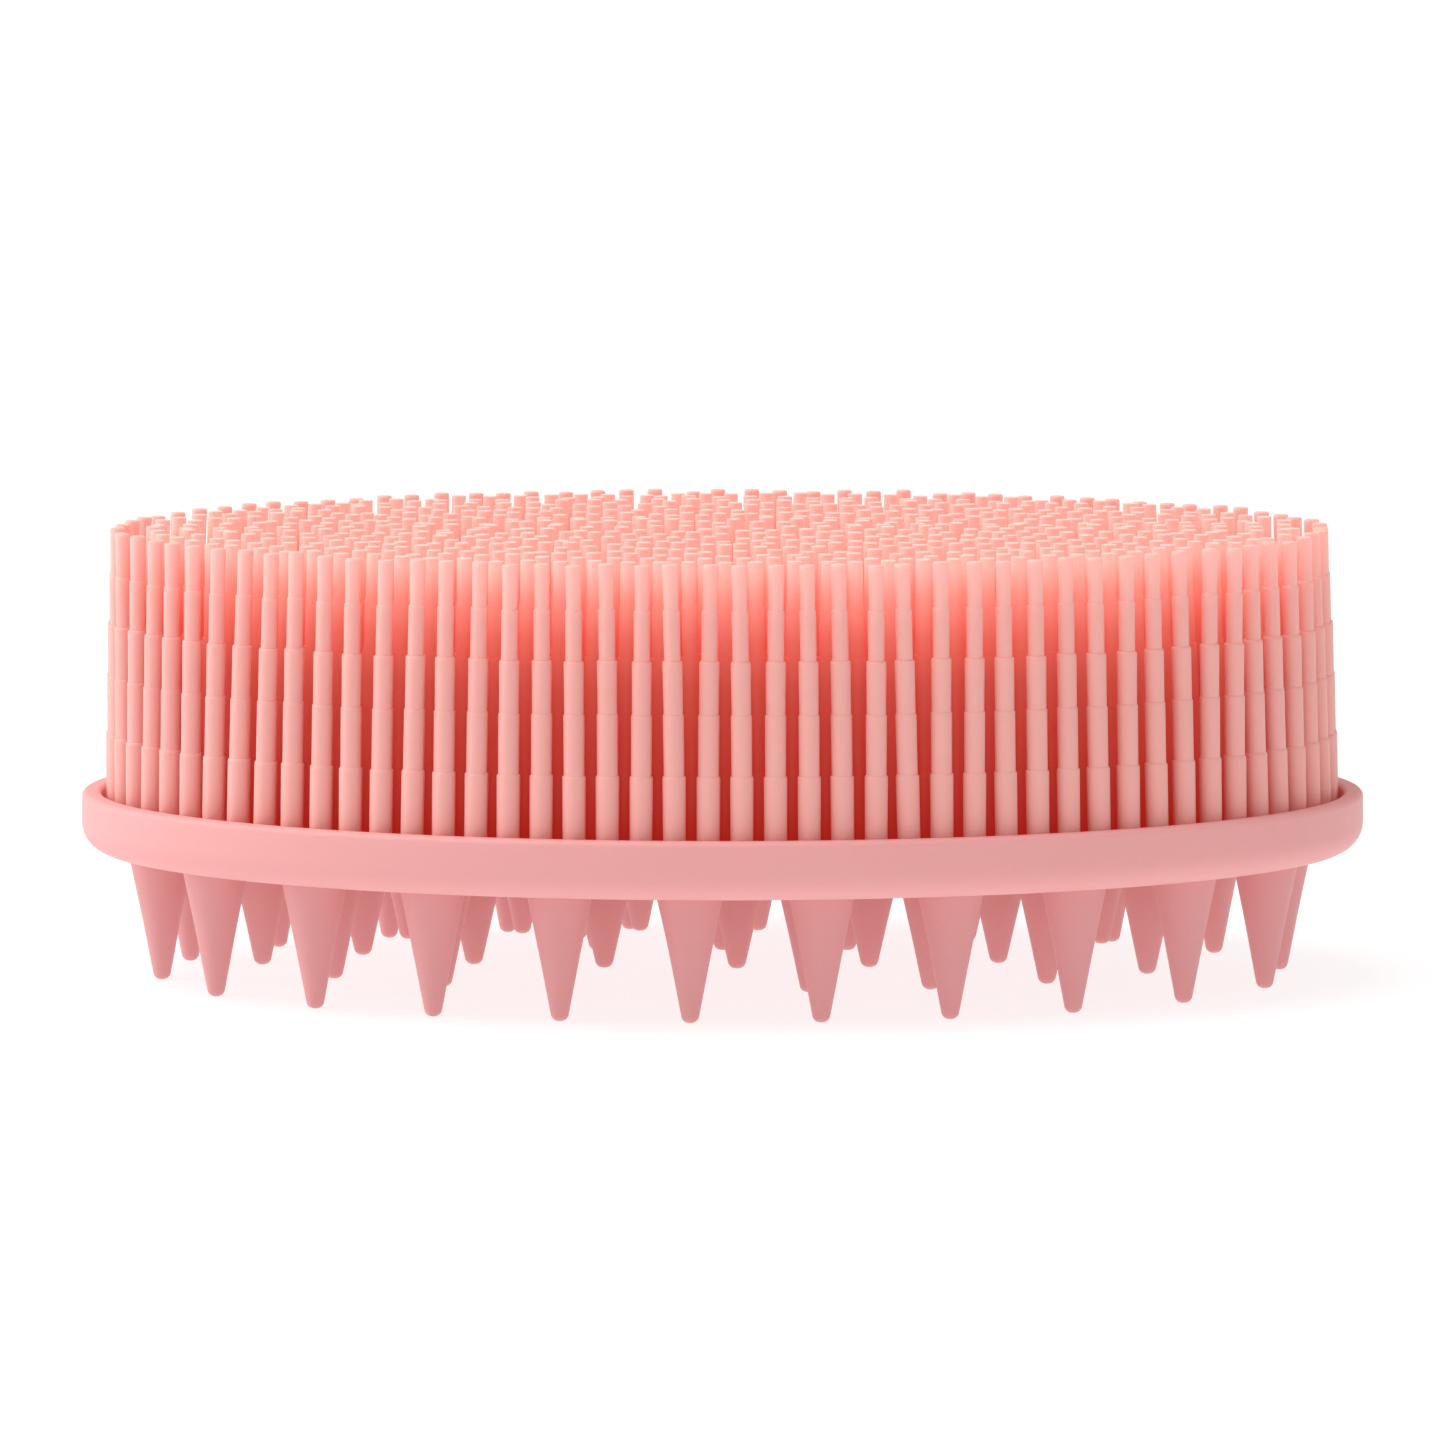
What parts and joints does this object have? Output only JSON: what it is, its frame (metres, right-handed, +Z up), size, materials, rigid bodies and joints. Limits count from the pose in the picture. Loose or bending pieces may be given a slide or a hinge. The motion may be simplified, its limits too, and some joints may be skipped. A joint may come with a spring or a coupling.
{
  "type": "scalp massager brush",
  "caption": "Oval double-sided silicone scalp brush: a dense field of stepped bristles in a rimmed dish on one side, widely spaced tapered massage cones on the other.",
  "frame": {"origin": "on the table, under the middle of the brush as it stands on its outer cones", "axes": "+X along the brush's length, +Y across its width, +Z up from the cones to the bristles"},
  "size_m": [0.13, 0.0808, 0.0458],
  "materials": {
    "silicone_dish": "matte moulded silicone",
    "silicone_bristles": "matte moulded silicone",
    "silicone_cones": "matte moulded silicone"
  },
  "bodies": {
    "brush": {"tray": "silicone_dish", "bristle_pad": "silicone_bristles"},
    "cone_01": {"cone_01": "silicone_cones"},
    "cone_02": {"cone_02": "silicone_cones"},
    "cone_03": {"cone_03": "silicone_cones"},
    "cone_04": {"cone_04": "silicone_cones"},
    "cone_05": {"cone_05": "silicone_cones"},
    "cone_06": {"cone_06": "silicone_cones"},
    "cone_07": {"cone_07": "silicone_cones"},
    "cone_08": {"cone_08": "silicone_cones"},
    "cone_09": {"cone_09": "silicone_cones"},
    "cone_10": {"cone_10": "silicone_cones"},
    "cone_11": {"cone_11": "silicone_cones"},
    "cone_12": {"cone_12": "silicone_cones"},
    "cone_13": {"cone_13": "silicone_cones"},
    "cone_14": {"cone_14": "silicone_cones"},
    "cone_15": {"cone_15": "silicone_cones"},
    "cone_16": {"cone_16": "silicone_cones"},
    "cone_17": {"cone_17": "silicone_cones"},
    "cone_18": {"cone_18": "silicone_cones"},
    "cone_19": {"cone_19": "silicone_cones"},
    "cone_20": {"cone_20": "silicone_cones"},
    "cone_21": {"cone_21": "silicone_cones"},
    "cone_22": {"cone_22": "silicone_cones"},
    "cone_23": {"cone_23": "silicone_cones"},
    "cone_24": {"cone_24": "silicone_cones"},
    "cone_25": {"cone_25": "silicone_cones"},
    "cone_26": {"cone_26": "silicone_cones"},
    "cone_27": {"cone_27": "silicone_cones"},
    "cone_28": {"cone_28": "silicone_cones"},
    "cone_29": {"cone_29": "silicone_cones"},
    "cone_30": {"cone_30": "silicone_cones"},
    "cone_31": {"cone_31": "silicone_cones"},
    "cone_32": {"cone_32": "silicone_cones"},
    "cone_33": {"cone_33": "silicone_cones"},
    "cone_34": {"cone_34": "silicone_cones"},
    "cone_35": {"cone_35": "silicone_cones"},
    "cone_36": {"cone_36": "silicone_cones"},
    "cone_37": {"cone_37": "silicone_cones"},
    "cone_38": {"cone_38": "silicone_cones"},
    "cone_39": {"cone_39": "silicone_cones"},
    "cone_40": {"cone_40": "silicone_cones"},
    "cone_41": {"cone_41": "silicone_cones"},
    "cone_42": {"cone_42": "silicone_cones"},
    "cone_43": {"cone_43": "silicone_cones"},
    "cone_44": {"cone_44": "silicone_cones"},
    "cone_45": {"cone_45": "silicone_cones"},
    "cone_46": {"cone_46": "silicone_cones"},
    "cone_47": {"cone_47": "silicone_cones"},
    "cone_48": {"cone_48": "silicone_cones"},
    "cone_49": {"cone_49": "silicone_cones"},
    "cone_50": {"cone_50": "silicone_cones"},
    "cone_51": {"cone_51": "silicone_cones"},
    "cone_52": {"cone_52": "silicone_cones"},
    "cone_53": {"cone_53": "silicone_cones"},
    "cone_54": {"cone_54": "silicone_cones"},
    "cone_55": {"cone_55": "silicone_cones"}
  },
  "joints": [
    {"name": "cone_01_lean", "type": "hinge", "parent": "brush", "child": "cone_01", "pos_m": [0.00974, -0.03109, 0.0112], "axis": [-0.9955, -0.095, 0], "range_deg": [-15, 15], "stiffness_Nm_per_rad": 0.01},
    {"name": "cone_02_lean", "type": "hinge", "parent": "brush", "child": "cone_02", "pos_m": [0.02249, -0.029, 0.0112], "axis": [-0.9732, -0.23, 0], "range_deg": [-15, 15], "stiffness_Nm_per_rad": 0.01},
    {"name": "cone_03_lean", "type": "hinge", "parent": "brush", "child": "cone_03", "pos_m": [0.03478, -0.02504, 0.0112], "axis": [-0.9209, -0.3899, 0], "range_deg": [-15, 15], "stiffness_Nm_per_rad": 0.01},
    {"name": "cone_04_lean", "type": "hinge", "parent": "brush", "child": "cone_04", "pos_m": [0.04602, -0.01871, 0.0112], "axis": [-0.8001, -0.5999, 0], "range_deg": [-15, 15], "stiffness_Nm_per_rad": 0.01},
    {"name": "cone_05_lean", "type": "hinge", "parent": "brush", "child": "cone_05", "pos_m": [0.05466, -0.00921, 0.0112], "axis": [-0.484, -0.8751, 0], "range_deg": [-15, 15], "stiffness_Nm_per_rad": 0.01},
    {"name": "cone_06_lean", "type": "hinge", "parent": "brush", "child": "cone_06", "pos_m": [0.05684, 0.00327, 0.0112], "axis": [0.1852, -0.9827, 0], "range_deg": [-15, 15], "stiffness_Nm_per_rad": 0.01},
    {"name": "cone_07_lean", "type": "hinge", "parent": "brush", "child": "cone_07", "pos_m": [0.05077, 0.01449, 0.0112], "axis": [0.6834, -0.73, 0], "range_deg": [-15, 15], "stiffness_Nm_per_rad": 0.01},
    {"name": "cone_08_lean", "type": "hinge", "parent": "brush", "child": "cone_08", "pos_m": [0.0405, 0.02226, 0.0112], "axis": [0.8745, -0.485, 0], "range_deg": [-15, 15], "stiffness_Nm_per_rad": 0.01},
    {"name": "cone_09_lean", "type": "hinge", "parent": "brush", "child": "cone_09", "pos_m": [0.02862, 0.02731, 0.0112], "axis": [0.9526, -0.3042, 0], "range_deg": [-15, 15], "stiffness_Nm_per_rad": 0.01},
    {"name": "cone_10_lean", "type": "hinge", "parent": "brush", "child": "cone_10", "pos_m": [0.01605, 0.03028, 0.0112], "axis": [0.9872, -0.1594, 0], "range_deg": [-15, 15], "stiffness_Nm_per_rad": 0.01},
    {"name": "cone_11_lean", "type": "hinge", "parent": "brush", "child": "cone_11", "pos_m": [0.00318, 0.0315, 0.0112], "axis": [0.9995, -0.0308, 0], "range_deg": [-15, 15], "stiffness_Nm_per_rad": 0.01},
    {"name": "cone_12_lean", "type": "hinge", "parent": "brush", "child": "cone_12", "pos_m": [-0.00974, 0.03109, 0.0112], "axis": [0.9955, 0.095, 0], "range_deg": [-15, 15], "stiffness_Nm_per_rad": 0.01},
    {"name": "cone_13_lean", "type": "hinge", "parent": "brush", "child": "cone_13", "pos_m": [-0.02249, 0.029, 0.0112], "axis": [0.9732, 0.23, 0], "range_deg": [-15, 15], "stiffness_Nm_per_rad": 0.01},
    {"name": "cone_14_lean", "type": "hinge", "parent": "brush", "child": "cone_14", "pos_m": [-0.03478, 0.02504, 0.0112], "axis": [0.9209, 0.3899, 0], "range_deg": [-15, 15], "stiffness_Nm_per_rad": 0.01},
    {"name": "cone_15_lean", "type": "hinge", "parent": "brush", "child": "cone_15", "pos_m": [-0.04602, 0.01871, 0.0112], "axis": [0.8001, 0.5999, 0], "range_deg": [-15, 15], "stiffness_Nm_per_rad": 0.01},
    {"name": "cone_16_lean", "type": "hinge", "parent": "brush", "child": "cone_16", "pos_m": [-0.05466, 0.00921, 0.0112], "axis": [0.484, 0.8751, 0], "range_deg": [-15, 15], "stiffness_Nm_per_rad": 0.01},
    {"name": "cone_17_lean", "type": "hinge", "parent": "brush", "child": "cone_17", "pos_m": [-0.05684, -0.00327, 0.0112], "axis": [-0.1852, 0.9827, 0], "range_deg": [-15, 15], "stiffness_Nm_per_rad": 0.01},
    {"name": "cone_18_lean", "type": "hinge", "parent": "brush", "child": "cone_18", "pos_m": [-0.05077, -0.01449, 0.0112], "axis": [-0.6834, 0.73, 0], "range_deg": [-15, 15], "stiffness_Nm_per_rad": 0.01},
    {"name": "cone_19_lean", "type": "hinge", "parent": "brush", "child": "cone_19", "pos_m": [-0.0405, -0.02226, 0.0112], "axis": [-0.8745, 0.485, 0], "range_deg": [-15, 15], "stiffness_Nm_per_rad": 0.01},
    {"name": "cone_20_lean", "type": "hinge", "parent": "brush", "child": "cone_20", "pos_m": [-0.02862, -0.02731, 0.0112], "axis": [-0.9526, 0.3042, 0], "range_deg": [-15, 15], "stiffness_Nm_per_rad": 0.01},
    {"name": "cone_21_lean", "type": "hinge", "parent": "brush", "child": "cone_21", "pos_m": [-0.01605, -0.03028, 0.0112], "axis": [-0.9872, 0.1594, 0], "range_deg": [-15, 15], "stiffness_Nm_per_rad": 0.01},
    {"name": "cone_22_lean", "type": "hinge", "parent": "brush", "child": "cone_22", "pos_m": [-0.00318, -0.0315, 0.0112], "axis": [-0.9995, 0.0308, 0], "range_deg": [-15, 15], "stiffness_Nm_per_rad": 0.01},
    {"name": "cone_23_lean", "type": "hinge", "parent": "brush", "child": "cone_23", "pos_m": [0.00859, -0.02068, 0.0112], "axis": [-0.9966, -0.0829, 0], "range_deg": [-15, 15], "stiffness_Nm_per_rad": 0.011},
    {"name": "cone_24_lean", "type": "hinge", "parent": "brush", "child": "cone_24", "pos_m": [0.02076, -0.01887, 0.0112], "axis": [-0.9766, -0.2151, 0], "range_deg": [-15, 15], "stiffness_Nm_per_rad": 0.011},
    {"name": "cone_25_lean", "type": "hinge", "parent": "brush", "child": "cone_25", "pos_m": [0.03249, -0.0152, 0.0112], "axis": [-0.9193, -0.3936, 0], "range_deg": [-15, 15], "stiffness_Nm_per_rad": 0.011},
    {"name": "cone_26_lean", "type": "hinge", "parent": "brush", "child": "cone_26", "pos_m": [0.04283, -0.00866, 0.0112], "axis": [-0.7103, -0.7039, 0], "range_deg": [-15, 15], "stiffness_Nm_per_rad": 0.011},
    {"name": "cone_27_lean", "type": "hinge", "parent": "brush", "child": "cone_27", "pos_m": [0.04669, 0.00242, 0.0112], "axis": [0.2504, -0.9681, 0], "range_deg": [-15, 15], "stiffness_Nm_per_rad": 0.011},
    {"name": "cone_28_lean", "type": "hinge", "parent": "brush", "child": "cone_28", "pos_m": [0.03903, 0.01172, 0.0112], "axis": [0.8319, -0.555, 0], "range_deg": [-15, 15], "stiffness_Nm_per_rad": 0.011},
    {"name": "cone_29_lean", "type": "hinge", "parent": "brush", "child": "cone_29", "pos_m": [0.02791, 0.01692, 0.0112], "axis": [0.9495, -0.3137, 0], "range_deg": [-15, 15], "stiffness_Nm_per_rad": 0.011},
    {"name": "cone_30_lean", "type": "hinge", "parent": "brush", "child": "cone_30", "pos_m": [0.01596, 0.01978, 0.0112], "axis": [0.9872, -0.1594, 0], "range_deg": [-15, 15], "stiffness_Nm_per_rad": 0.011},
    {"name": "cone_31_lean", "type": "hinge", "parent": "brush", "child": "cone_31", "pos_m": [0.00371, 0.02097, 0.0112], "axis": [0.9994, -0.0354, 0], "range_deg": [-15, 15], "stiffness_Nm_per_rad": 0.011},
    {"name": "cone_32_lean", "type": "hinge", "parent": "brush", "child": "cone_32", "pos_m": [-0.00859, 0.02068, 0.0112], "axis": [0.9966, 0.0829, 0], "range_deg": [-15, 15], "stiffness_Nm_per_rad": 0.011},
    {"name": "cone_33_lean", "type": "hinge", "parent": "brush", "child": "cone_33", "pos_m": [-0.02076, 0.01887, 0.0112], "axis": [0.9766, 0.2151, 0], "range_deg": [-15, 15], "stiffness_Nm_per_rad": 0.011},
    {"name": "cone_34_lean", "type": "hinge", "parent": "brush", "child": "cone_34", "pos_m": [-0.03249, 0.0152, 0.0112], "axis": [0.9193, 0.3936, 0], "range_deg": [-15, 15], "stiffness_Nm_per_rad": 0.011},
    {"name": "cone_35_lean", "type": "hinge", "parent": "brush", "child": "cone_35", "pos_m": [-0.04283, 0.00866, 0.0112], "axis": [0.7103, 0.7039, 0], "range_deg": [-15, 15], "stiffness_Nm_per_rad": 0.011},
    {"name": "cone_36_lean", "type": "hinge", "parent": "brush", "child": "cone_36", "pos_m": [-0.04669, -0.00242, 0.0112], "axis": [-0.2504, 0.9681, 0], "range_deg": [-15, 15], "stiffness_Nm_per_rad": 0.011},
    {"name": "cone_37_lean", "type": "hinge", "parent": "brush", "child": "cone_37", "pos_m": [-0.03903, -0.01172, 0.0112], "axis": [-0.8319, 0.555, 0], "range_deg": [-15, 15], "stiffness_Nm_per_rad": 0.011},
    {"name": "cone_38_lean", "type": "hinge", "parent": "brush", "child": "cone_38", "pos_m": [-0.02791, -0.01692, 0.0112], "axis": [-0.9495, 0.3137, 0], "range_deg": [-15, 15], "stiffness_Nm_per_rad": 0.011},
    {"name": "cone_39_lean", "type": "hinge", "parent": "brush", "child": "cone_39", "pos_m": [-0.01596, -0.01978, 0.0112], "axis": [-0.9872, 0.1594, 0], "range_deg": [-15, 15], "stiffness_Nm_per_rad": 0.011},
    {"name": "cone_40_lean", "type": "hinge", "parent": "brush", "child": "cone_40", "pos_m": [-0.00371, -0.02097, 0.0112], "axis": [-0.9994, 0.0354, 0], "range_deg": [-15, 15], "stiffness_Nm_per_rad": 0.011},
    {"name": "cone_41_lean", "type": "hinge", "parent": "brush", "child": "cone_41", "pos_m": [0.00145, -0.01051, 0.0112], "axis": [-0.9999, -0.0112, 0], "range_deg": [-15, 15], "stiffness_Nm_per_rad": 0.012},
    {"name": "cone_42_lean", "type": "hinge", "parent": "brush", "child": "cone_42", "pos_m": [0.01479, -0.00963, 0.0112], "axis": [-0.9923, -0.1241, 0], "range_deg": [-15, 15], "stiffness_Nm_per_rad": 0.012},
    {"name": "cone_43_lean", "type": "hinge", "parent": "brush", "child": "cone_43", "pos_m": [0.02787, -0.00688, 0.0112], "axis": [-0.9497, -0.3132, 0], "range_deg": [-15, 15], "stiffness_Nm_per_rad": 0.012},
    {"name": "cone_44_lean", "type": "hinge", "parent": "brush", "child": "cone_44", "pos_m": [0.03652, 0.0014, 0.0112], "axis": [0.4259, -0.9048, 0], "range_deg": [-15, 15], "stiffness_Nm_per_rad": 0.012},
    {"name": "cone_45_lean", "type": "hinge", "parent": "brush", "child": "cone_45", "pos_m": [0.02508, 0.0077, 0.0112], "axis": [0.9666, -0.2564, 0], "range_deg": [-15, 15], "stiffness_Nm_per_rad": 0.012},
    {"name": "cone_46_lean", "type": "hinge", "parent": "brush", "child": "cone_46", "pos_m": [0.01191, 0.00995, 0.0112], "axis": [0.9953, -0.097, 0], "range_deg": [-15, 15], "stiffness_Nm_per_rad": 0.012},
    {"name": "cone_47_lean", "type": "hinge", "parent": "brush", "child": "cone_47", "pos_m": [-0.00145, 0.01051, 0.0112], "axis": [0.9999, 0.0112, 0], "range_deg": [-15, 15], "stiffness_Nm_per_rad": 0.012},
    {"name": "cone_48_lean", "type": "hinge", "parent": "brush", "child": "cone_48", "pos_m": [-0.01479, 0.00963, 0.0112], "axis": [0.9923, 0.1241, 0], "range_deg": [-15, 15], "stiffness_Nm_per_rad": 0.012},
    {"name": "cone_49_lean", "type": "hinge", "parent": "brush", "child": "cone_49", "pos_m": [-0.02787, 0.00688, 0.0112], "axis": [0.9497, 0.3132, 0], "range_deg": [-15, 15], "stiffness_Nm_per_rad": 0.012},
    {"name": "cone_50_lean", "type": "hinge", "parent": "brush", "child": "cone_50", "pos_m": [-0.03652, -0.0014, 0.0112], "axis": [-0.4259, 0.9048, 0], "range_deg": [-15, 15], "stiffness_Nm_per_rad": 0.012},
    {"name": "cone_51_lean", "type": "hinge", "parent": "brush", "child": "cone_51", "pos_m": [-0.02508, -0.0077, 0.0112], "axis": [-0.9666, 0.2564, 0], "range_deg": [-15, 15], "stiffness_Nm_per_rad": 0.012},
    {"name": "cone_52_lean", "type": "hinge", "parent": "brush", "child": "cone_52", "pos_m": [-0.01191, -0.00995, 0.0112], "axis": [-0.9953, 0.097, 0], "range_deg": [-15, 15], "stiffness_Nm_per_rad": 0.012},
    {"name": "cone_53_lean", "type": "hinge", "parent": "brush", "child": "cone_53", "pos_m": [-0.0127, 0, 0.0112], "axis": [1, 0, 0], "range_deg": [-15, 15], "stiffness_Nm_per_rad": 0.012},
    {"name": "cone_54_lean", "type": "hinge", "parent": "brush", "child": "cone_54", "pos_m": [0, 0, 0.0112], "axis": [1, 0, 0], "range_deg": [-15, 15], "stiffness_Nm_per_rad": 0.012},
    {"name": "cone_55_lean", "type": "hinge", "parent": "brush", "child": "cone_55", "pos_m": [0.0127, 0, 0.0112], "axis": [1, 0, 0], "range_deg": [-15, 15], "stiffness_Nm_per_rad": 0.012}
  ]
}
